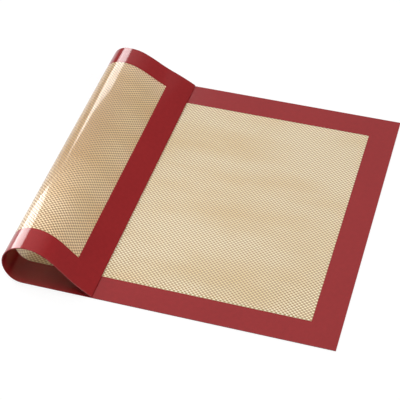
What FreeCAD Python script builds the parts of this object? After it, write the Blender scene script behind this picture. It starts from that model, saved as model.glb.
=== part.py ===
"""Silicone baking mat: a coated glass-fibre sheet that lies flat, with one end rolled over onto itself.

Millimetres, +Z up. X runs along the mat, from the roll at -X to the square end at +X. Y runs across it,
from the front edge to the back edge. The origin is on the underside, in the middle of the flat panel.
The roll is a little larger at the front edge than at the back edge.
"""
import math
import os

import FreeCAD
import Part

# Sheet
MAT_LENGTH = 400.0
MAT_WIDTH = 300.0
CORE_THICKNESS = 0.4
COAT_THICKNESS = 0.2
BORDER_WIDTH = 25.5
# The border along the back edge is printed wider on the upper face
UPPER_BACK_BORDER_WIDTH = 28.3
EDGE_SEAL_WIDTH = 1.5

# Roll, as lengths of sheet along the front and the back edge, from where it leaves the table
HEEL_FRONT_LENGTH = 14.5
HEEL_BACK_LENGTH = 17.0
SIDE_FRONT_LENGTH = 46.0
SIDE_BACK_LENGTH = 33.0
CROWN_FRONT_LENGTH = 14.5
CROWN_BACK_LENGTH = 20.0
SHOULDER_LENGTH = 16.0
SLOPE_LENGTH = 16.0

# Roll, as the degrees that each stretch bends over towards the free edge
HEEL_ANGLE = 56
SIDE_ANGLE = 119
CROWN_ANGLE = 31
SLOPE_FRONT_ANGLE = -2
SLOPE_BACK_ANGLE = -8
TIP_FRONT_ANGLE = -13
TIP_BACK_ANGLE = 7

# Strips that each round stretch is divided into
HEEL_STRIPS = 3
SIDE_STRIPS = 6
CROWN_STRIPS = 2
# Parts that the flap's field is drawn in across the mat, since its faces twist a little
FLAP_PARTS = 16

# Running gap at each bend line, and the room between the free edge and the sheet under it
BEND_GAP = 0.4
FREE_EDGE_CLEARANCE = 0.3

# Range of the search for the shoulder's bend, which seats the free edge on the sheet
LEAST_SHOULDER_ANGLE = -60
MOST_SHOULDER_ANGLE = 90
SEARCH_STEPS = 60
# An arc that bows less than this share of its length is drawn straight
STRAIGHT_SHARE = 1e-5

THICKNESS = CORE_THICKNESS + 2 * COAT_THICKNESS
HALF = THICKNESS / 2
CORE_HALF = CORE_THICKNESS / 2

# Lines along the mat, front to back: cut edge, core's edge and border's inner edge on each face
FRONT_Y = -MAT_WIDTH / 2
CORE_FRONT_Y = FRONT_Y + EDGE_SEAL_WIDTH
FIELD_FRONT_Y = FRONT_Y + BORDER_WIDTH
BACK_Y = MAT_WIDTH / 2
CORE_BACK_Y = BACK_Y - EDGE_SEAL_WIDTH
LOWER_FIELD_BACK_Y = BACK_Y - BORDER_WIDTH
UPPER_FIELD_BACK_Y = BACK_Y - UPPER_BACK_BORDER_WIDTH


def lines_between(first, last, field_parts=1):
    """The lines along the mat from first to last, with the upper face's field drawn in equal parts."""
    field_step = (UPPER_FIELD_BACK_Y - FIELD_FRONT_Y) / field_parts
    lines = {FRONT_Y, CORE_FRONT_Y, UPPER_FIELD_BACK_Y, LOWER_FIELD_BACK_Y, CORE_BACK_Y, BACK_Y}
    lines.update(FIELD_FRONT_Y + field_step * number for number in range(field_parts))
    return [y for y in sorted(lines) if first <= y <= last]


def divided(length, turn, strips):
    """Equal arcs that share a stretch's length and turn."""
    return [(length / strips, math.radians(turn / strips))] * strips


def roll_arcs(heel, side, crown, shoulder_turn, slope_turn, tip_turn):
    """The length and turn of each arc of one edge, from the table to the free edge."""
    arcs = divided(heel, HEEL_ANGLE, HEEL_STRIPS)
    arcs += divided(side, SIDE_ANGLE, SIDE_STRIPS)
    arcs += divided(crown, CROWN_ANGLE, CROWN_STRIPS)
    arcs.append((SHOULDER_LENGTH, math.radians(shoulder_turn)))
    arcs.append((SLOPE_LENGTH, math.radians(slope_turn)))
    arcs.append((BORDER_WIDTH, math.radians(tip_turn)))
    return arcs


FRONT_ROLL_LENGTH = (
    HEEL_FRONT_LENGTH + SIDE_FRONT_LENGTH + CROWN_FRONT_LENGTH + SHOULDER_LENGTH + SLOPE_LENGTH + BORDER_WIDTH
)
BACK_ROLL_LENGTH = (
    HEEL_BACK_LENGTH + SIDE_BACK_LENGTH + CROWN_BACK_LENGTH + SHOULDER_LENGTH + SLOPE_LENGTH + BORDER_WIDTH
)
END_X = (MAT_LENGTH - (FRONT_ROLL_LENGTH + BACK_ROLL_LENGTH) / 2) / 2
ROLL_FRONT_X = END_X - MAT_LENGTH + FRONT_ROLL_LENGTH
ROLL_BACK_X = END_X - MAT_LENGTH + BACK_ROLL_LENGTH


def advance(x, z, heading, length, turn):
    """The end of an arc of sheet that starts at x, z and turns clockwise, seen from the front."""
    chord = length
    if turn:
        chord = length * math.sin(turn / 2) / (turn / 2)
    direction = heading - turn / 2
    return x + chord * math.cos(direction), z + chord * math.sin(direction), heading - turn


def laid_out(start_x, arcs):
    """The arcs one after another on the sheet's middle plane, each as start, heading, length and turn."""
    x, z, heading = start_x, HALF, math.pi
    profile = []
    for length, turn in arcs:
        profile.append((x, z, heading, length, turn))
        x, z, heading = advance(x, z, heading, length, turn)
    return profile


def free_edge_height(profile):
    """The lowest corner of the free edge."""
    x, z, heading = advance(*profile[-1])
    return z - HALF * abs(math.cos(heading))


def seated_profile(start_x, heel, side, crown, slope_turn, tip_turn):
    """The profile whose shoulder bends so far that the free edge comes down on the sheet's upper face."""
    seat = THICKNESS + FREE_EDGE_CLEARANCE
    low, high = LEAST_SHOULDER_ANGLE, MOST_SHOULDER_ANGLE
    for step in range(SEARCH_STEPS):
        middle = (low + high) / 2
        profile = laid_out(start_x, roll_arcs(heel, side, crown, middle, slope_turn, tip_turn))
        if free_edge_height(profile) > seat:
            low = middle
        else:
            high = middle
    return profile


FRONT_PROFILE = seated_profile(
    ROLL_FRONT_X, HEEL_FRONT_LENGTH, SIDE_FRONT_LENGTH, CROWN_FRONT_LENGTH, SLOPE_FRONT_ANGLE, TIP_FRONT_ANGLE
)
BACK_PROFILE = seated_profile(
    ROLL_BACK_X, HEEL_BACK_LENGTH, SIDE_BACK_LENGTH, CROWN_BACK_LENGTH, SLOPE_BACK_ANGLE, TIP_BACK_ANGLE
)
SHOULDER = HEEL_STRIPS + SIDE_STRIPS + CROWN_STRIPS
SLOPE = SHOULDER + 1
TIP = SLOPE + 1

# Places along an arc: a share of its length, and a distance further on
STRIP_START = (0, BEND_GAP / 2)
STRIP_END = (1, -BEND_GAP / 2)
ARC_START = (0, 0)
ARC_END = (1, 0)
CORE_END = (1, -EDGE_SEAL_WIDTH)


def halfway(first, second):
    """The place midway between two places along an arc."""
    return (first[0] + second[0]) / 2, (first[1] + second[1]) / 2


def profile_point(arc, place, offset):
    """A point of a profile, at a place along an arc and offset towards the sheet's upper face."""
    x, z, heading, length, turn = arc
    along = place[0] * length + place[1]
    x, z, heading = advance(x, z, heading, along, turn * along / length)
    return x + offset * math.sin(heading), z - offset * math.cos(heading)


def sheet_point(index, place, offset, y):
    """A point of the rolled sheet: straight lines join the front profile to the back one."""
    front_x, front_z = profile_point(FRONT_PROFILE[index], place, offset)
    back_x, back_z = profile_point(BACK_PROFILE[index], place, offset)
    share = (y - FRONT_Y) / MAT_WIDTH
    return FreeCAD.Vector(front_x + (back_x - front_x) * share, y, front_z + (back_z - front_z) * share)


def sheet_edge(span, offset, y):
    """The arc of the sheet at y, over a span of one arc index and two places along it."""
    index, start, end = span
    first = sheet_point(index, start, offset, y)
    middle = sheet_point(index, halfway(start, end), offset, y)
    last = sheet_point(index, end, offset, y)
    bow = (middle - (first + last) / 2).Length
    if bow < STRAIGHT_SHARE * (last - first).Length:
        return Part.makeLine(first, last)
    return Part.Arc(first, middle, last).toShape()


def section(spans, low, high, y):
    """The closed outline at y of one layer, over spans that follow one another."""
    lower = [sheet_edge(span, low, y) for span in spans]
    upper = [sheet_edge(span, high, y) for span in reversed(spans)]
    first, start = spans[0][0], spans[0][1]
    last, end = spans[-1][0], spans[-1][2]
    start_side = Part.makeLine(sheet_point(first, start, high, y), sheet_point(first, start, low, y))
    end_side = Part.makeLine(sheet_point(last, end, low, y), sheet_point(last, end, high, y))
    return Part.Wire(lower + [end_side] + upper + [start_side])


def layer(spans, low, high, lines):
    """A solid layer over spans of the roll, from the first of the lines along the mat to the last."""
    return Part.makeLoft([section(spans, low, high, y) for y in lines], True, True)


def joined(solids):
    """Solids that meet face to face, as one."""
    return solids[0].fuse(solids[1:]).removeSplitter()


def strip_pieces(index):
    """The four layers of one strip of the roll, whose two borders hold the core between their faces."""
    spans = [(index, STRIP_START, STRIP_END)]
    front_border = joined([
        layer(spans, -HALF, HALF, lines_between(FRONT_Y, CORE_FRONT_Y)),
        layer(spans, -HALF, -CORE_HALF, lines_between(CORE_FRONT_Y, FIELD_FRONT_Y)),
        layer(spans, CORE_HALF, HALF, lines_between(CORE_FRONT_Y, FIELD_FRONT_Y)),
    ])
    back_border = joined([
        layer(spans, -HALF, HALF, lines_between(CORE_BACK_Y, BACK_Y)),
        layer(spans, -HALF, -CORE_HALF, lines_between(LOWER_FIELD_BACK_Y, CORE_BACK_Y)),
        layer(spans, CORE_HALF, HALF, lines_between(UPPER_FIELD_BACK_Y, CORE_BACK_Y)),
    ])
    return {
        "weave": layer(spans, -CORE_HALF, CORE_HALF, lines_between(CORE_FRONT_Y, CORE_BACK_Y)),
        "upper_coat": layer(spans, CORE_HALF, HALF, lines_between(FIELD_FRONT_Y, UPPER_FIELD_BACK_Y)),
        "lower_coat": layer(spans, -HALF, -CORE_HALF, lines_between(FIELD_FRONT_Y, LOWER_FIELD_BACK_Y)),
        "border": Part.makeCompound([front_border, back_border]),
    }


def flap_lines(first, last):
    """The lines along the mat from first to last, as close as the flap's twist asks for."""
    return lines_between(first, last, FLAP_PARTS)


def flap_border(field_spans, tip_span):
    """The flap's border, round its two sides and its free edge."""
    solids = [layer([(TIP, CORE_END, ARC_END)], -HALF, HALF, flap_lines(FRONT_Y, BACK_Y))]
    faces = ((-HALF, -CORE_HALF, LOWER_FIELD_BACK_Y), (CORE_HALF, HALF, UPPER_FIELD_BACK_Y))
    for low, high, field_back_y in faces:
        solids.append(layer(field_spans, low, high, flap_lines(CORE_FRONT_Y, FIELD_FRONT_Y)))
        solids.append(layer(field_spans, low, high, flap_lines(field_back_y, CORE_BACK_Y)))
        solids.append(layer([tip_span], low, high, flap_lines(CORE_FRONT_Y, CORE_BACK_Y)))
    for first, last in ((FRONT_Y, CORE_FRONT_Y), (CORE_BACK_Y, BACK_Y)):
        solids.append(layer(field_spans + [tip_span], -HALF, HALF, flap_lines(first, last)))
    return joined(solids)


def flap_pieces():
    """The four layers of the flap that comes down from the roll to the free edge."""
    field_spans = [(SHOULDER, STRIP_START, ARC_END), (SLOPE, ARC_START, ARC_END)]
    tip_span = (TIP, ARC_START, CORE_END)
    core_lines = flap_lines(CORE_FRONT_Y, CORE_BACK_Y)
    return {
        "weave": layer(field_spans + [tip_span], -CORE_HALF, CORE_HALF, core_lines),
        "upper_coat": layer(field_spans, CORE_HALF, HALF, flap_lines(FIELD_FRONT_Y, UPPER_FIELD_BACK_Y)),
        "lower_coat": layer(field_spans, -HALF, -CORE_HALF, flap_lines(FIELD_FRONT_Y, LOWER_FIELD_BACK_Y)),
        "border": flap_border(field_spans, tip_span),
    }


def roll_line_x(y):
    """Where the flat panel ends at the roll's first bend line."""
    share = (y - FRONT_Y) / MAT_WIDTH
    return ROLL_FRONT_X + (ROLL_BACK_X - ROLL_FRONT_X) * share + BEND_GAP / 2


def slab(end_x, front_y, back_y, low, high):
    """A flat layer from the first bend line to end_x."""
    outline = [
        FreeCAD.Vector(roll_line_x(front_y), front_y, low),
        FreeCAD.Vector(end_x, front_y, low),
        FreeCAD.Vector(end_x, back_y, low),
        FreeCAD.Vector(roll_line_x(back_y), back_y, low),
    ]
    face = Part.Face(Part.makePolygon(outline + outline[:1]))
    return face.extrude(FreeCAD.Vector(0, 0, high - low))


def flat_pieces():
    """The four layers of the flat panel, with the border round three of its sides."""
    core_top = COAT_THICKNESS + CORE_THICKNESS
    field_end = END_X - BORDER_WIDTH
    core = slab(END_X - EDGE_SEAL_WIDTH, CORE_FRONT_Y, CORE_BACK_Y, COAT_THICKNESS, core_top)
    upper_coat = slab(field_end, FIELD_FRONT_Y, UPPER_FIELD_BACK_Y, core_top, THICKNESS)
    lower_coat = slab(field_end, FIELD_FRONT_Y, LOWER_FIELD_BACK_Y, 0, COAT_THICKNESS)
    whole = slab(END_X, FRONT_Y, BACK_Y, 0, THICKNESS)
    return {
        "weave": core,
        "upper_coat": upper_coat,
        "lower_coat": lower_coat,
        "border": whole.cut([core, upper_coat, lower_coat]),
    }


def strip_names():
    """The names of the strips between the flat panel and the flap."""
    counts = (("heel", HEEL_STRIPS), ("side", SIDE_STRIPS), ("crown", CROWN_STRIPS))
    return [f"{name}_{number}" for name, count in counts for number in range(1, count + 1)]


def mat():
    """Every node of the mat, by name."""
    groups = {"flat": flat_pieces(), "flap": flap_pieces()}
    for index, name in enumerate(strip_names()):
        groups[name] = strip_pieces(index)
    return {f"{group}_{piece}": shape for group, pieces in groups.items() for piece, shape in pieces.items()}


os.makedirs("parts", exist_ok=True)
for node, shape in mat().items():
    shape.exportStep(f"parts/{node}.step")
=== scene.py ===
import math
from collections import namedtuple

import bpy
import numpy as np
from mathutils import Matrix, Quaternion, Vector

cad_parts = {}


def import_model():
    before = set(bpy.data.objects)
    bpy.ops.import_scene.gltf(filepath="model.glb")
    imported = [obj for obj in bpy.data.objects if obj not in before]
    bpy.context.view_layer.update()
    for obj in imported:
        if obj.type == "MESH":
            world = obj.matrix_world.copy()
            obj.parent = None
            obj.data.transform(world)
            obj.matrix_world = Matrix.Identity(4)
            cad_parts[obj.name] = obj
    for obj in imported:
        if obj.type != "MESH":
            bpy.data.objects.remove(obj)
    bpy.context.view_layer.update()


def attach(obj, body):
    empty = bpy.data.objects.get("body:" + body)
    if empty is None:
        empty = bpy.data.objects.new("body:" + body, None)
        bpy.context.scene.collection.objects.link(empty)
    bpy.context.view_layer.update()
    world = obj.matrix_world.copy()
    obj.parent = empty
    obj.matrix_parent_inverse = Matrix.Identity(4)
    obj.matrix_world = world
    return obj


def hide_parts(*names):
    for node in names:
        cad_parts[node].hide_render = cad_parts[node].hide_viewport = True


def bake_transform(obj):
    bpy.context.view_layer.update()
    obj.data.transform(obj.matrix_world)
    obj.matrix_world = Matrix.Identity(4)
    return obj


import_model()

# Sheet, in metres
MAT_LENGTH = 0.400
MAT_WIDTH = 0.300
THICKNESS = 0.0008
BORDER_WIDTH = 0.0255
# The border along the back edge is printed wider on the upper face
UPPER_BACK_BORDER_WIDTH = 0.0283
EDGE_RADIUS = 0.0003

# Roll, as lengths of sheet along the front and the back edge, from where it leaves the table
HEEL_FRONT_LENGTH = 0.0145
HEEL_BACK_LENGTH = 0.0170
SIDE_FRONT_LENGTH = 0.0460
SIDE_BACK_LENGTH = 0.0330
CROWN_FRONT_LENGTH = 0.0145
CROWN_BACK_LENGTH = 0.0200
SHOULDER_LENGTH = 0.0160
SLOPE_LENGTH = 0.0160

# Roll, as the degrees that each stretch bends over towards the free edge
HEEL_ANGLE = 56
SIDE_ANGLE = 119
CROWN_ANGLE = 31
SLOPE_FRONT_ANGLE = -2
SLOPE_BACK_ANGLE = -8
TIP_FRONT_ANGLE = -13
TIP_BACK_ANGLE = 7
# The shoulder's angle is found between these two by halving, so that the free edge comes down on the sheet
LEAST_SHOULDER_ANGLE = -60
MOST_SHOULDER_ANGLE = 90
SEARCH_STEPS = 60
FREE_EDGE_CLEARANCE = 0.0003

# Strips between the bend lines
HEEL_STRIPS = 3
SIDE_STRIPS = 6
CROWN_STRIPS = 2

# Mesh steps along and across the sheet
BEND_ROWS = 8
ROW_STEP = 0.004
COLUMN_STEP = 0.006
# Corners of a face of the mesh
CORNERS = 4
# Steps of a rounded edge, and its steepest slope in degrees
EDGE_STEPS = 4
EDGE_STEEPEST = 75
# Flat sheet that bends with the first bend line, and the share of the shoulder that bends with the last
FIRST_BEND_MARGIN = 0.004
LAST_BEND_SHARE = 0.5

# Weave: the yarns' spacing, the power that draws a yarn's crown out along the yarn, and the relief
YARN_PITCH_X = 0.00182
YARN_PITCH_Y = 0.00175
CROWN_POWER = 0.5
WEAVE_RELIEF = 0.0003
WEAVE_RELIEF_SHARE = 0.45

# Colours, here and below, are a screen's red, green and blue from 0 to 255
SCREEN_TOP = 255
WHITE = (255, 255, 255)
# Weave: the gaps between the yarns, and the yarns' sides and tops at shares of a crown's height
GAP_COLOUR = (130, 76, 28)
YARN_SIDE_COLOUR = (255, 236, 194)
YARN_SIDE_SHARE = 0.20
YARN_TOP_COLOUR = (255, 251, 228)
YARN_TOP_SHARE = 0.50
# Tints of the weft, the yarns across the mat, on either face, and of the whole underside; the underside,
# which the roll and flap show, has a darker weft and a warmer tint as painted shade
UPPER_WEFT_TINT = (170, 133, 90)
LOWER_WEFT_AND_SHADE_TINT = (150, 113, 70)
UNDERSIDE_SHADE_TINT = (255, 241, 231)
# Faint blotches, drawn out along the mat
BLOTCH_TINT = (246, 238, 222)
BLOTCH_STRETCH_SHARES = (0.35, 1, 1)
BLOTCH_SCALE = 26
BLOTCH_DETAIL = 4
BLOTCH_START_SHARE = 0.35
BLOTCH_FULL_SHARE = 0.70
# Painted shade: a brown patch of the underside where the roll's upper left lies, darkening the weave there
# as shade would; in the sheet's coordinates, with the share of its reach at full strength
PAINTED_SHADE_TINT = (224, 214, 201)
PAINTED_SHADE_CENTRE = (-0.312, 0.025, 0)
PAINTED_SHADE_REACH = (0.048, 0.130, 1)
PAINTED_SHADE_CORE_SHARE = 0.35

# Gloss of the yarns and of the clear silicone over them
YARN_ROUGHNESS = 0.50
YARN_IOR = 1.6
YARN_SPECULAR_SHARE = 0.1
COAT_ROUGHNESS = 0.07
SILICONE_IOR = 1.42

# Shares of light that pass the yarns and the gaps
THROUGH_COLOUR = (255, 249, 236)
WARP_LIGHT_SHARE = 0.04
WEFT_LIGHT_SHARE = 0.32
GAP_LIGHT_SHARE = 0.78
# A gap closes while the crown rises between these shares of its height
GAP_OPEN_SHARE = 0.02
GAP_END_SHARE = 0.30

# Red silicone: two tones in soft clouds, a fine speckle, and the relief of the weave under it
FIRST_RED = (141, 30, 33)
SECOND_RED = (148, 35, 37)
CLOUD_SCALE = 16
CLOUD_DETAIL = 4
SPECKLE_TINT = (238, 238, 238)
SPECKLE_SCALE = 260
SPECKLE_DETAIL = 3
RED_ROUGHNESS = 0.12
RED_RELIEF = 0.0001
RED_RELIEF_SHARE = 0.06

# Camera
AZIMUTH = math.radians(16.38)
ELEVATION = math.radians(42.32)
CAMERA_DISTANCE = 1.1526
LOOK_AT = Vector((-0.0188, -0.0090, 0))
LENS = 115.74

# Floor
FLOOR_SIZE = 30.0
FLOOR_DROP = 0.0002
FLOOR_COLOUR = (240, 240, 240)
FLOOR_ROUGHNESS = 0.9
FLOOR_WHITE_SHARE = 0.85

# Light: lengths in metres, power in watts, turn and spread in degrees
WORLD_COLOUR = (118, 118, 118)
ROLL_CENTRE = (-0.145, 0, 0.03)
FULL_SPREAD = 180
LAMPS = {
    "overhead": {
        "location": (-0.545, 0.573, 1.24),
        "target": ROLL_CENTRE,
        "width": 3.3,
        "height": 3.3,
        "power": 8.0,
        "spread": 104,
    },
    "side_panel": {
        "location": (-1.051, 0.662, 0.383),
        "target": ROLL_CENTRE,
        "width": 0.30,
        "height": 0.81,
        "power": 6.4,
        "turn": 15,
    },
    "back_panel": {
        "location": (-0.701, 1.186, 0.683),
        "target": ROLL_CENTRE,
        "width": 0.576,
        "height": 0.239,
        "power": 3.9,
        "turn": -22.2,
    },
    "front_fill": {
        "location": (-0.1, -0.5, 1.5),
        "target": (-0.05, 0, 0),
        "width": 0.6,
        "height": 0.6,
        "power": 6.8,
    },
    "front_left": {
        "location": (-0.30, -0.12, 0.24),
        "target": (-0.15, -0.12, 0.04),
        "width": 0.15,
        "height": 0.15,
        "power": 0.36,
        "mirrored": False,
    },
    "right_fill": {
        "location": (1.2, 0, 0.9),
        "target": (0, 0, 0),
        "width": 0.8,
        "height": 0.8,
        "power": 10.8,
    },
}

HALF = THICKNESS / 2
FRONT_Y = -MAT_WIDTH / 2
BACK_Y = MAT_WIDTH / 2
FIELD_FRONT_Y = FRONT_Y + BORDER_WIDTH
LOWER_FIELD_BACK_Y = BACK_Y - BORDER_WIDTH
UPPER_FIELD_BACK_Y = BACK_Y - UPPER_BACK_BORDER_WIDTH
FLAP_LENGTH = SHOULDER_LENGTH + SLOPE_LENGTH + BORDER_WIDTH
FRONT_ROLL_LENGTH = HEEL_FRONT_LENGTH + SIDE_FRONT_LENGTH + CROWN_FRONT_LENGTH + FLAP_LENGTH
BACK_ROLL_LENGTH = HEEL_BACK_LENGTH + SIDE_BACK_LENGTH + CROWN_BACK_LENGTH + FLAP_LENGTH
END_X = (MAT_LENGTH - (FRONT_ROLL_LENGTH + BACK_ROLL_LENGTH) / 2) / 2
FIELD_END_X = END_X - BORDER_WIDTH
ROLL_FRONT_X = END_X - MAT_LENGTH + FRONT_ROLL_LENGTH
ROLL_BACK_X = END_X - MAT_LENGTH + BACK_ROLL_LENGTH

# Numbers of the roll's arcs: the shoulder, and the border at the free edge, with the slope between them
SHOULDER = HEEL_STRIPS + SIDE_STRIPS + CROWN_STRIPS
SLOPE = SHOULDER + 1
TIP = SLOPE + 1

# A point of the sheet's middle plane on the front or back edge; distance is the way from the square end
State = namedtuple("State", "x z heading distance")
# A stretch of one edge that bends evenly
Arc = namedtuple("Arc", "start length turn")
# A line across the sheet, with its states at the front and back edge, and the rounding of an edge along it
Row = namedtuple("Row", "front back drop slope")
# A line along the sheet, with the rounding of an edge along it
Column = namedtuple("Column", "y drop slope")


def flat_state(x):
    """The state of the flat panel at x."""
    return State(x, HALF, math.pi, END_X - x)


def advance(state, length, turn):
    """The state at the end of an arc of sheet."""
    chord = length
    if turn:
        chord = length * math.sin(turn / 2) / (turn / 2)
    direction = state.heading - turn / 2
    x = state.x + chord * math.cos(direction)
    z = state.z + chord * math.sin(direction)
    return State(x, z, state.heading - turn, state.distance + length)


def divided(length, angle, strips):
    """Equal arcs that share a stretch's length and turn."""
    return [(length / strips, math.radians(angle / strips))] * strips


def laid_out(start_x, bends):
    """The bends of one edge, each a length and a turn, as arcs one after another."""
    state = flat_state(start_x)
    arcs = []
    for length, turn in bends:
        arcs.append(Arc(state, length, turn))
        state = advance(state, length, turn)
    return arcs


def seated_profile(start_x, heel, side, crown, slope_angle, tip_angle):
    """The arcs of one edge, whose shoulder bends so far that the free edge comes down on the upper face."""
    strips = divided(heel, HEEL_ANGLE, HEEL_STRIPS)
    strips += divided(side, SIDE_ANGLE, SIDE_STRIPS)
    strips += divided(crown, CROWN_ANGLE, CROWN_STRIPS)
    end = [(SLOPE_LENGTH, math.radians(slope_angle)), (BORDER_WIDTH, math.radians(tip_angle))]
    seat = THICKNESS + FREE_EDGE_CLEARANCE
    low, high = LEAST_SHOULDER_ANGLE, MOST_SHOULDER_ANGLE
    for step in range(SEARCH_STEPS):
        middle = (low + high) / 2
        profile = laid_out(start_x, strips + [(SHOULDER_LENGTH, math.radians(middle))] + end)
        free_edge = advance(*profile[-1])
        if free_edge.z - HALF * abs(math.cos(free_edge.heading)) > seat:
            low = middle
        else:
            high = middle
    return profile


FRONT_PROFILE = seated_profile(
    ROLL_FRONT_X,
    HEEL_FRONT_LENGTH,
    SIDE_FRONT_LENGTH,
    CROWN_FRONT_LENGTH,
    SLOPE_FRONT_ANGLE,
    TIP_FRONT_ANGLE,
)
BACK_PROFILE = seated_profile(
    ROLL_BACK_X,
    HEEL_BACK_LENGTH,
    SIDE_BACK_LENGTH,
    CROWN_BACK_LENGTH,
    SLOPE_BACK_ANGLE,
    TIP_BACK_ANGLE,
)


def rounding():
    """The rounding of a cut edge, outwards, as distances from the edge, drops from the face, and slopes."""
    steps = []
    for number in range(1, EDGE_STEPS + 1):
        slope = math.radians(EDGE_STEEPEST * number / EDGE_STEPS)
        steps.append((EDGE_RADIUS * (1 - math.sin(slope)), EDGE_RADIUS * (1 - math.cos(slope)), slope))
    last_inset = steps[-1][0]
    return [(inset - last_inset, drop, slope) for inset, drop, slope in steps]


ROUNDING = rounding()


def even_places(first, last, count):
    """Places from first to last, with count equal steps between them."""
    return [first + (last - first) * number / count for number in range(count + 1)]


def stepped_places(first, last, step):
    """Even places from first to last, no further apart than step."""
    return even_places(first, last, max(1, math.ceil(abs(last - first) / step)))


def face_columns(field_back_y):
    """The columns across one face of the sheet, from the front edge to the back edge."""
    border_count = math.ceil(BORDER_WIDTH / COLUMN_STEP)
    field_count = math.ceil((LOWER_FIELD_BACK_Y - FIELD_FRONT_Y) / COLUMN_STEP)
    middle = even_places(FRONT_Y + EDGE_RADIUS, FIELD_FRONT_Y, border_count)
    middle += even_places(FIELD_FRONT_Y, field_back_y, field_count)[1:]
    middle += even_places(field_back_y, BACK_Y - EDGE_RADIUS, border_count)[1:]
    front = [Column(FRONT_Y + inset, drop, -slope) for inset, drop, slope in reversed(ROUNDING)]
    back = [Column(BACK_Y - inset, drop, slope) for inset, drop, slope in ROUNDING]
    return front + [Column(y, 0, 0) for y in middle] + back


UPPER_COLUMNS = face_columns(UPPER_FIELD_BACK_Y)
LOWER_COLUMNS = face_columns(LOWER_FIELD_BACK_Y)


def across_field():
    """Which cells across the sheet lie inside the border."""
    middles = [(near.y + far.y) / 2 for near, far in zip(LOWER_COLUMNS, LOWER_COLUMNS[1:])]
    return np.array([FIELD_FRONT_Y < middle < LOWER_FIELD_BACK_Y for middle in middles])


def unit(vectors):
    """Vectors of length one."""
    return vectors / np.linalg.norm(vectors, axis=-1, keepdims=True)


def face_grid(rows, columns, side):
    """Points, normals and sheet coordinates of the upper face, side 1, or the lower face, side -1."""
    y, column_drop, column_slope = (np.array(values) for values in zip(*columns))
    across = ((y - FRONT_Y) / MAT_WIDTH)[None, :, None]
    front = np.array([row.front for row in rows])
    back = np.array([row.back for row in rows])
    states = front[:, None, :] * (1 - across) + back[:, None, :] * across
    x, z, heading, distance = np.moveaxis(states, -1, 0)
    y_everywhere = np.broadcast_to(y, x.shape)
    middle = np.stack([x, y_everywhere, z], axis=-1)
    along = np.stack([np.cos(heading), np.zeros_like(heading), np.sin(heading)], axis=-1)
    shift = back - front
    ruling = unit(np.stack([shift[:, 0], np.full(len(rows), MAT_WIDTH), shift[:, 1]], axis=-1))
    ruling = np.broadcast_to(ruling[:, None, :], along.shape)
    normal = unit(np.cross(ruling, along))
    row_drop = np.array([row.drop for row in rows])[:, None]
    row_slope = np.array([row.slope for row in rows])[:, None]
    half = (HALF - np.maximum(row_drop, column_drop))[..., None]
    lean = along * np.sin(row_slope)[..., None] + ruling * np.sin(column_slope)[None, :, None]
    upright = normal * (np.cos(row_slope) * np.cos(column_slope))[..., None]
    points = middle + normal * half * side
    normals = unit(lean + upright * side)
    sheet = np.stack([distance * side, y_everywhere], axis=-1)
    return points.reshape(-1, 3), normals.reshape(-1, 3), sheet.reshape(-1, 2)


def sheet_grid(rows):
    """Points, normals and sheet coordinates of both faces, the upper face first."""
    upper = face_grid(rows, UPPER_COLUMNS, 1)
    lower = face_grid(rows, LOWER_COLUMNS, -1)
    return [np.concatenate(pair) for pair in zip(upper, lower)]


def new_object(name, data):
    """A new object of the scene."""
    made = bpy.data.objects.new(name, data)
    bpy.context.scene.collection.objects.link(made)
    return made


def closed_faces(cells):
    """Both faces over the chosen cells of a grid, and the walls round them, as point numbers."""
    row_count, column_count = cells.shape
    number = np.arange((row_count + 1) * (column_count + 1)).reshape(row_count + 1, column_count + 1)
    corners = np.stack([number[:-1, :-1], number[:-1, 1:], number[1:, 1:], number[1:, :-1]], axis=-1)
    upper = corners[cells]
    lower = upper[:, ::-1] + number.size
    outside = np.pad(~cells, 1, constant_values=True)
    open_sides = (outside[:-2, 1:-1], outside[1:-1, 2:], outside[2:, 1:-1], outside[1:-1, :-2])
    walls = []
    for side, is_open in enumerate(open_sides):
        edge = corners[cells & is_open]
        near = edge[:, side]
        far = edge[:, (side + 1) % CORNERS]
        walls.append(np.stack([near + number.size, far + number.size, far, near], axis=-1))
    return np.concatenate([upper, lower]), np.concatenate(walls)


def sheet_piece(name, grid, cells, material):
    """One closed piece of the sheet, smooth on its faces and sharp at its walls."""
    points, face_normals, places = grid
    skins, walls = closed_faces(cells)
    faces = np.concatenate([skins, walls])
    first_side = points[walls[:, 1]] - points[walls[:, 0]]
    last_side = points[walls[:, -1]] - points[walls[:, 0]]
    wall_normals = np.repeat(unit(np.cross(first_side, last_side)), CORNERS, axis=0)
    normals = np.concatenate([face_normals[skins.ravel()], wall_normals])
    used, corner_numbers = np.unique(faces, return_inverse=True)
    mesh = bpy.data.meshes.new(name)
    mesh.from_pydata(points[used].tolist(), [], corner_numbers.reshape(-1, CORNERS).tolist())
    mesh.materials.append(material)
    mesh.polygons.foreach_set("use_smooth", np.ones(len(faces), dtype=bool))
    mesh.uv_layers.new(name="sheet").data.foreach_set("uv", places[faces.ravel()].ravel())
    mesh.normals_split_custom_set(normals.tolist())
    piece = new_object(name, mesh)
    return piece


def flat_row(front_x, back_x, drop=0, slope=0):
    """A row of the flat panel, from a point of its front edge to one of its back edge."""
    return Row(flat_state(front_x), flat_state(back_x), drop, slope)


def roll_states(place):
    """The roll's states at the front and back edge, at an arc's number plus a share of it."""
    index = min(int(place), TIP)
    share = place - index
    arcs = (FRONT_PROFILE[index], BACK_PROFILE[index])
    return [advance(arc.start, arc.length * share, arc.turn * share) for arc in arcs]


def roll_row(place, drop=0, slope=0):
    """A row of the roll, at an arc's number plus a share of it."""
    return Row(*roll_states(place), drop, slope)


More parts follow.
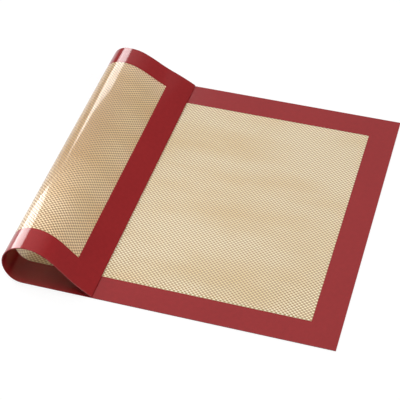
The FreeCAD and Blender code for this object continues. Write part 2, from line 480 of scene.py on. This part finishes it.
def flat_rows():
    """The flat panel's rows, from the square end to the first bend."""
    rows = []
    for inset, drop, slope in reversed(ROUNDING):
        rows.append(flat_row(END_X - inset, END_X - inset, drop, -slope))
    rows += [flat_row(x, x) for x in stepped_places(END_X - EDGE_RADIUS, FIELD_END_X, ROW_STEP)]
    count = math.ceil((FIELD_END_X - ROLL_FRONT_X) / ROW_STEP)
    front = even_places(FIELD_END_X, ROLL_FRONT_X + FIRST_BEND_MARGIN, count)
    back = even_places(FIELD_END_X, ROLL_BACK_X + FIRST_BEND_MARGIN, count)
    return rows + [flat_row(*pair) for pair in zip(front[1:], back[1:])]


def bend_rows(bend):
    """The rows of the sheet that bends at one bend line, between the middles of the strips beside it."""
    half_rows = BEND_ROWS // 2
    if bend == 0:
        margins = even_places(FIRST_BEND_MARGIN, 0, half_rows)
        before = [flat_row(ROLL_FRONT_X + margin, ROLL_BACK_X + margin) for margin in margins]
    else:
        before = [roll_row(place) for place in even_places(bend - 1 / 2, bend, half_rows)]
    after_share = LAST_BEND_SHARE if bend == SHOULDER else 1 / 2
    after = [roll_row(place) for place in even_places(bend, bend + after_share, half_rows)]
    return before + after[1:]


def flap_rows():
    """The rows of the flap, from the last bend to the free edge."""
    count = math.ceil(SHOULDER_LENGTH / ROW_STEP)
    rows = [roll_row(place) for place in even_places(SHOULDER + LAST_BEND_SHARE, TIP, count)]
    lengths = stepped_places(0, BORDER_WIDTH - EDGE_RADIUS, ROW_STEP)
    rows += [roll_row(TIP + length / BORDER_WIDTH) for length in lengths[1:]]
    for inset, drop, slope in ROUNDING:
        rows.append(roll_row(TIP + 1 - inset / BORDER_WIDTH, drop, slope))
    return rows


def node(tree, kind, **settings):
    """A new shader node with its settings."""
    made = tree.nodes.new(kind)
    for name, value in settings.items():
        setattr(made, name, value)
    return made


def put(tree, socket, value):
    """Feeds a socket from another socket, or sets it to a value."""
    if isinstance(value, bpy.types.NodeSocket):
        tree.links.new(value, socket)
    else:
        socket.default_value = value


def put_all(tree, made, **values):
    """Feeds or sets a node's sockets, whose names are written with underscores."""
    for name, value in values.items():
        put(tree, made.inputs[name.replace("_", " ")], value)


def calculate(tree, operation, *values, kind="ShaderNodeMath", result="Value"):
    """The result of a math node."""
    made = node(tree, kind, operation=operation)
    for socket, value in zip(made.inputs, values):
        put(tree, socket, value)
    return made.outputs[result]


def calculate_vector(tree, operation, *values, result="Vector"):
    """The result of a vector math node."""
    return calculate(tree, operation, *values, kind="ShaderNodeVectorMath", result=result)


def ranged(tree, value, start, end, first=0, last=1, interpolation="LINEAR"):
    """A number that goes from first to last while a value goes from start to end."""
    made = node(tree, "ShaderNodeMapRange", interpolation_type=interpolation)
    put_all(tree, made, Value=value, From_Min=start, From_Max=end, To_Min=first, To_Max=last)
    return made.outputs["Result"]


def tinted(tree, factor, first, second, blend_type="MIX"):
    """The result of a colour mix node."""
    made = node(tree, "ShaderNodeMix", data_type="RGBA", blend_type=blend_type)
    put_all(tree, made, Factor=factor, A=first, B=second)
    return made.outputs["Result"]


def noise(tree, place, scale, detail):
    """The result of a noise node, about one half."""
    made = node(tree, "ShaderNodeTexNoise", noise_dimensions="2D")
    put_all(tree, made, Vector=place, Scale=scale, Detail=detail)
    return made.outputs["Fac"]


def bumped(tree, height, strength, distance):
    """A normal that follows a height."""
    made = node(tree, "ShaderNodeBump")
    put_all(tree, made, Height=height, Strength=strength, Distance=distance)
    return made.outputs["Normal"]


def linear(colour):
    """A colour of the screen as the renderer's linear colour, by the usual screen curve."""
    channels = []
    for value in colour:
        share = value / SCREEN_TOP
        channels.append(share / 12.92 if share <= 0.04045 else ((share + 0.055) / 1.055) ** 2.4)
    return (*channels, 1)


def new_material(name):
    """A new material, its node tree and its principled shader."""
    material = bpy.data.materials.new(name)
    material.use_nodes = True
    tree = material.node_tree
    return material, tree, tree.nodes["Principled BSDF"]


def mix_surface(tree, share, first, second):
    """Makes a material's surface a mix of two shaders, with a share of the second."""
    mixed = node(tree, "ShaderNodeMixShader")
    for socket, value in zip(mixed.inputs, (share, first, second)):
        put(tree, socket, value)
    put(tree, tree.nodes["Material Output"].inputs["Surface"], mixed.outputs["Shader"])


def weave_pattern(tree):
    """The sheet's coordinates, its faces, its yarns and their crowns.

    underside is 1 on the lower face. warp_up is 1 where a yarn along the mat lies over one across it.
    crown is how near a point is to the top of its outer yarn, from 0 to 1.
    """
    place = node(tree, "ShaderNodeUVMap", uv_map="sheet").outputs["UV"]
    parts = node(tree, "ShaderNodeSeparateXYZ")
    put(tree, parts.inputs["Vector"], place)
    along = calculate(tree, "MULTIPLY", parts.outputs["X"], math.pi / YARN_PITCH_X)
    across = calculate(tree, "MULTIPLY", parts.outputs["Y"], math.pi / YARN_PITCH_Y)
    along = calculate(tree, "SINE", along)
    across = calculate(tree, "SINE", across)
    warp_up = calculate(tree, "GREATER_THAN", calculate(tree, "MULTIPLY", along, across), 0)
    along = calculate(tree, "ABSOLUTE", along)
    across = calculate(tree, "ABSOLUTE", across)
    warp = calculate(tree, "MULTIPLY", calculate(tree, "POWER", along, CROWN_POWER), across)
    weft = calculate(tree, "MULTIPLY", along, calculate(tree, "POWER", across, CROWN_POWER))
    crown = node(tree, "ShaderNodeMix", data_type="FLOAT")
    put_all(tree, crown, Factor=warp_up, A=weft, B=warp)
    return {
        "place": place,
        "underside": calculate(tree, "LESS_THAN", parts.outputs["X"], 0),
        "warp_up": warp_up,
        "crown": crown.outputs["Result"],
    }


def painted_shade_share(tree, place):
    """How far the painted shade darkens the weave: fully in the patch's core, and not at all beyond its
    reach.
    """
    offset = calculate_vector(tree, "SUBTRACT", place, PAINTED_SHADE_CENTRE)
    scaled = calculate_vector(tree, "DIVIDE", offset, PAINTED_SHADE_REACH)
    radius = calculate_vector(tree, "LENGTH", scaled, result="Value")
    return ranged(tree, radius, PAINTED_SHADE_CORE_SHARE, 1, first=1, last=0, interpolation="SMOOTHSTEP")


def weave_colour(tree, weave):
    """The colour of the yarns and gaps, with faint blotches, and painted shade on the underside: a darker
    weft, a warmer tint and a brown patch on the roll's upper left.
    """
    ramp = node(tree, "ShaderNodeValToRGB")
    put(tree, ramp.inputs["Fac"], weave["crown"])
    steps = ramp.color_ramp.elements
    steps[0].position = 0
    steps[0].color = linear(GAP_COLOUR)
    steps[1].position = YARN_TOP_SHARE
    steps[1].color = linear(YARN_TOP_COLOUR)
    steps.new(YARN_SIDE_SHARE).color = linear(YARN_SIDE_COLOUR)
    # The lower face's weft is darker than the upper's as painted shade
    weft = tinted(tree, weave["underside"], linear(UPPER_WEFT_TINT), linear(LOWER_WEFT_AND_SHADE_TINT))
    yarns = tinted(tree, weave["warp_up"], weft, linear(WHITE))
    colour = tinted(tree, 1, ramp.outputs["Color"], yarns, "MULTIPLY")
    stretched = calculate_vector(tree, "MULTIPLY", weave["place"], BLOTCH_STRETCH_SHARES)
    clouds = noise(tree, stretched, BLOTCH_SCALE, BLOTCH_DETAIL)
    blotches = ranged(tree, clouds, BLOTCH_START_SHARE, BLOTCH_FULL_SHARE)
    colour = tinted(tree, blotches, colour, linear(BLOTCH_TINT), "MULTIPLY")
    # Painted shade: the whole underside made warmer
    colour = tinted(tree, weave["underside"], colour, linear(UNDERSIDE_SHADE_TINT), "MULTIPLY")
    # Painted shade: a brown patch of the underside on the roll's upper left
    return tinted(tree, painted_shade_share(tree, weave["place"]), colour, linear(PAINTED_SHADE_TINT), "MULTIPLY")


def weave_light_share(tree, weave):
    """The share of light that passes: more in gaps and weft, and all that comes from inside the sheet."""
    gaps = ranged(tree, weave["crown"], GAP_OPEN_SHARE, GAP_END_SHARE, first=GAP_LIGHT_SHARE, last=0)
    less = calculate(tree, "MULTIPLY", weave["warp_up"], WEFT_LIGHT_SHARE - WARP_LIGHT_SHARE)
    yarns = calculate(tree, "SUBTRACT", WEFT_LIGHT_SHARE, less)
    inside = node(tree, "ShaderNodeNewGeometry").outputs["Backfacing"]
    return calculate(tree, "MAXIMUM", calculate(tree, "MAXIMUM", gaps, yarns), inside)


def weave_material():
    """Glass-fibre plain weave under clear silicone."""
    material, tree, shader = new_material("coated_weave")
    weave = weave_pattern(tree)
    put_all(
        tree,
        shader,
        Base_Color=weave_colour(tree, weave),
        Roughness=YARN_ROUGHNESS,
        IOR=YARN_IOR,
        Specular_IOR_Level=YARN_SPECULAR_SHARE,
        Coat_Weight=1,
        Coat_Roughness=COAT_ROUGHNESS,
        Coat_IOR=SILICONE_IOR,
        Normal=bumped(tree, weave["crown"], WEAVE_RELIEF_SHARE, WEAVE_RELIEF),
    )
    through = node(tree, "ShaderNodeBsdfTranslucent")
    put(tree, through.inputs["Color"], linear(THROUGH_COLOUR))
    mix_surface(tree, weave_light_share(tree, weave), shader.outputs["BSDF"], through.outputs["BSDF"])
    return material


def border_material():
    """Red silicone, with the weave under it just showing."""
    material, tree, shader = new_material("red_silicone")
    weave = weave_pattern(tree)
    clouds = noise(tree, weave["place"], CLOUD_SCALE, CLOUD_DETAIL)
    colour = tinted(tree, clouds, linear(FIRST_RED), linear(SECOND_RED))
    specks = noise(tree, weave["place"], SPECKLE_SCALE, SPECKLE_DETAIL)
    speckle = tinted(tree, specks, linear(SPECKLE_TINT), linear(WHITE))
    put_all(
        tree,
        shader,
        Base_Color=tinted(tree, 1, colour, speckle, "MULTIPLY"),
        Roughness=RED_ROUGHNESS,
        IOR=SILICONE_IOR,
        Normal=bumped(tree, weave["crown"], RED_RELIEF_SHARE, RED_RELIEF),
    )
    return material


WEAVE = weave_material()
RED = border_material()


def both_pieces(name, rows, field_rows):
    """A stretch of the sheet as field and border; field_rows says which rows of cells have a field."""
    grid = sheet_grid(rows)
    field_cells = np.outer(field_rows, across_field())
    field = sheet_piece(name + "_field", grid, field_cells, WEAVE)
    border = sheet_piece(name + "_red", grid, ~field_cells, RED)
    return field, border


def stand_for(group):
    """Hides the CAD layers that the two pieces stand for."""
    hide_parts(group + "_weave", group + "_upper_coat", group + "_lower_coat")
    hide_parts(group + "_border")


def strip_names():
    """The names of the strips between the flat panel and the flap."""
    counts = (("heel", HEEL_STRIPS), ("side", SIDE_STRIPS), ("crown", CROWN_STRIPS))
    return [f"{name}_{number}" for name, count in counts for number in range(1, count + 1)]


def mat():
    """The whole mat."""
    rows = flat_rows()
    field_rows = np.array([row.front.x < FIELD_END_X + EDGE_RADIUS for row in rows[:-1]])
    flat_field, flat_border = both_pieces("flat", rows, field_rows)
    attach(flat_field, "flat_sheet")
    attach(flat_border, "flat_sheet")
    stand_for("flat")
    others = [flat_border]
    bodies = ["flat_sheet"] + strip_names() + ["flap"]
    for bend, (first_body, second_body) in enumerate(zip(bodies, bodies[1:])):
        rows = bend_rows(bend)
        field, border = both_pieces(f"bend_{bend + 1}", rows, np.ones(len(rows) - 1, dtype=bool))
        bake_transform(field)
        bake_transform(border)
        if second_body != "flap":
            stand_for(second_body)
        others += [field, border]
    rows = flap_rows()
    tip_distance = FRONT_PROFILE[TIP].start.distance - EDGE_RADIUS
    field_rows = np.array([row.front.distance < tip_distance for row in rows[:-1]])
    flap_field, flap_border = both_pieces("flap", rows, field_rows)
    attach(flap_field, "flap")
    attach(flap_border, "flap")
    stand_for("flap")
    others += [flap_field, flap_border]


def camera():
    """The camera, at its distance from the point that it looks at."""
    data = bpy.data.cameras.new("camera")
    data.lens = LENS
    made = new_object("camera", data)
    level = math.cos(ELEVATION)
    away = Vector((math.sin(AZIMUTH) * level, -math.cos(AZIMUTH) * level, math.sin(ELEVATION)))
    made.location = LOOK_AT + away * CAMERA_DISTANCE
    made.rotation_euler = away.to_track_quat("Z", "Y").to_euler()
    bpy.context.scene.camera = made


def floor_material():
    """A pale floor that looks white, with a faint shadow, but lights the mat as its own colour does."""
    material, tree, shader = new_material("floor")
    ray = node(tree, "ShaderNodeLightPath").outputs
    mirrored = calculate(tree, "MAXIMUM", ray["Is Camera Ray"], ray["Is Glossy Ray"])
    clear = calculate(tree, "SUBTRACT", ray["Is Transmission Ray"], ray["Is Diffuse Ray"])
    seen = calculate(tree, "MAXIMUM", mirrored, clear)
    colour = tinted(tree, seen, linear(FLOOR_COLOUR), linear(WHITE))
    put_all(tree, shader, Base_Color=colour, Roughness=FLOOR_ROUGHNESS, Specular_IOR_Level=0)
    white = node(tree, "ShaderNodeEmission")
    share = calculate(tree, "MULTIPLY", seen, FLOOR_WHITE_SHARE)
    mix_surface(tree, share, shader.outputs["BSDF"], white.outputs["Emission"])
    return material


def floor():
    """The floor, just under the mat."""
    data = bpy.data.meshes.new("floor")
    reach = FLOOR_SIZE / 2
    corners = [(-reach, -reach), (reach, -reach), (reach, reach), (-reach, reach)]
    data.from_pydata([(x, y, -FLOOR_DROP) for x, y in corners], [], [(0, 1, 2, 3)])
    data.materials.append(floor_material())
    made = new_object("floor", data)


def lamp(name, location, target, width, height, power, turn=0, spread=FULL_SPREAD, mirrored=True):
    """A soft box that faces its target, turned about its axis; mirrored says if glossy faces show it."""
    data = bpy.data.lights.new(name, "AREA")
    data.shape = "RECTANGLE"
    data.size = width
    data.size_y = height
    data.energy = power
    data.spread = math.radians(spread)
    made = new_object(name, data)
    made.visible_glossy = mirrored
    made.location = location
    facing = (Vector(location) - Vector(target)).to_track_quat("Z", "Y")
    made.rotation_euler = (facing @ Quaternion((0, 0, 1), math.radians(turn))).to_euler()


def world():
    """An even soft light from all sides."""
    made = bpy.data.worlds.new("world")
    bpy.context.scene.world = made
    made.use_nodes = True
    background = made.node_tree.nodes["Background"]
    put(made.node_tree, background.inputs["Color"], linear(WORLD_COLOUR))


mat()
camera()
floor()
for lamp_name, settings in LAMPS.items():
    lamp(lamp_name, **settings)
world()

bpy.context.scene.view_settings.view_transform = "Standard"
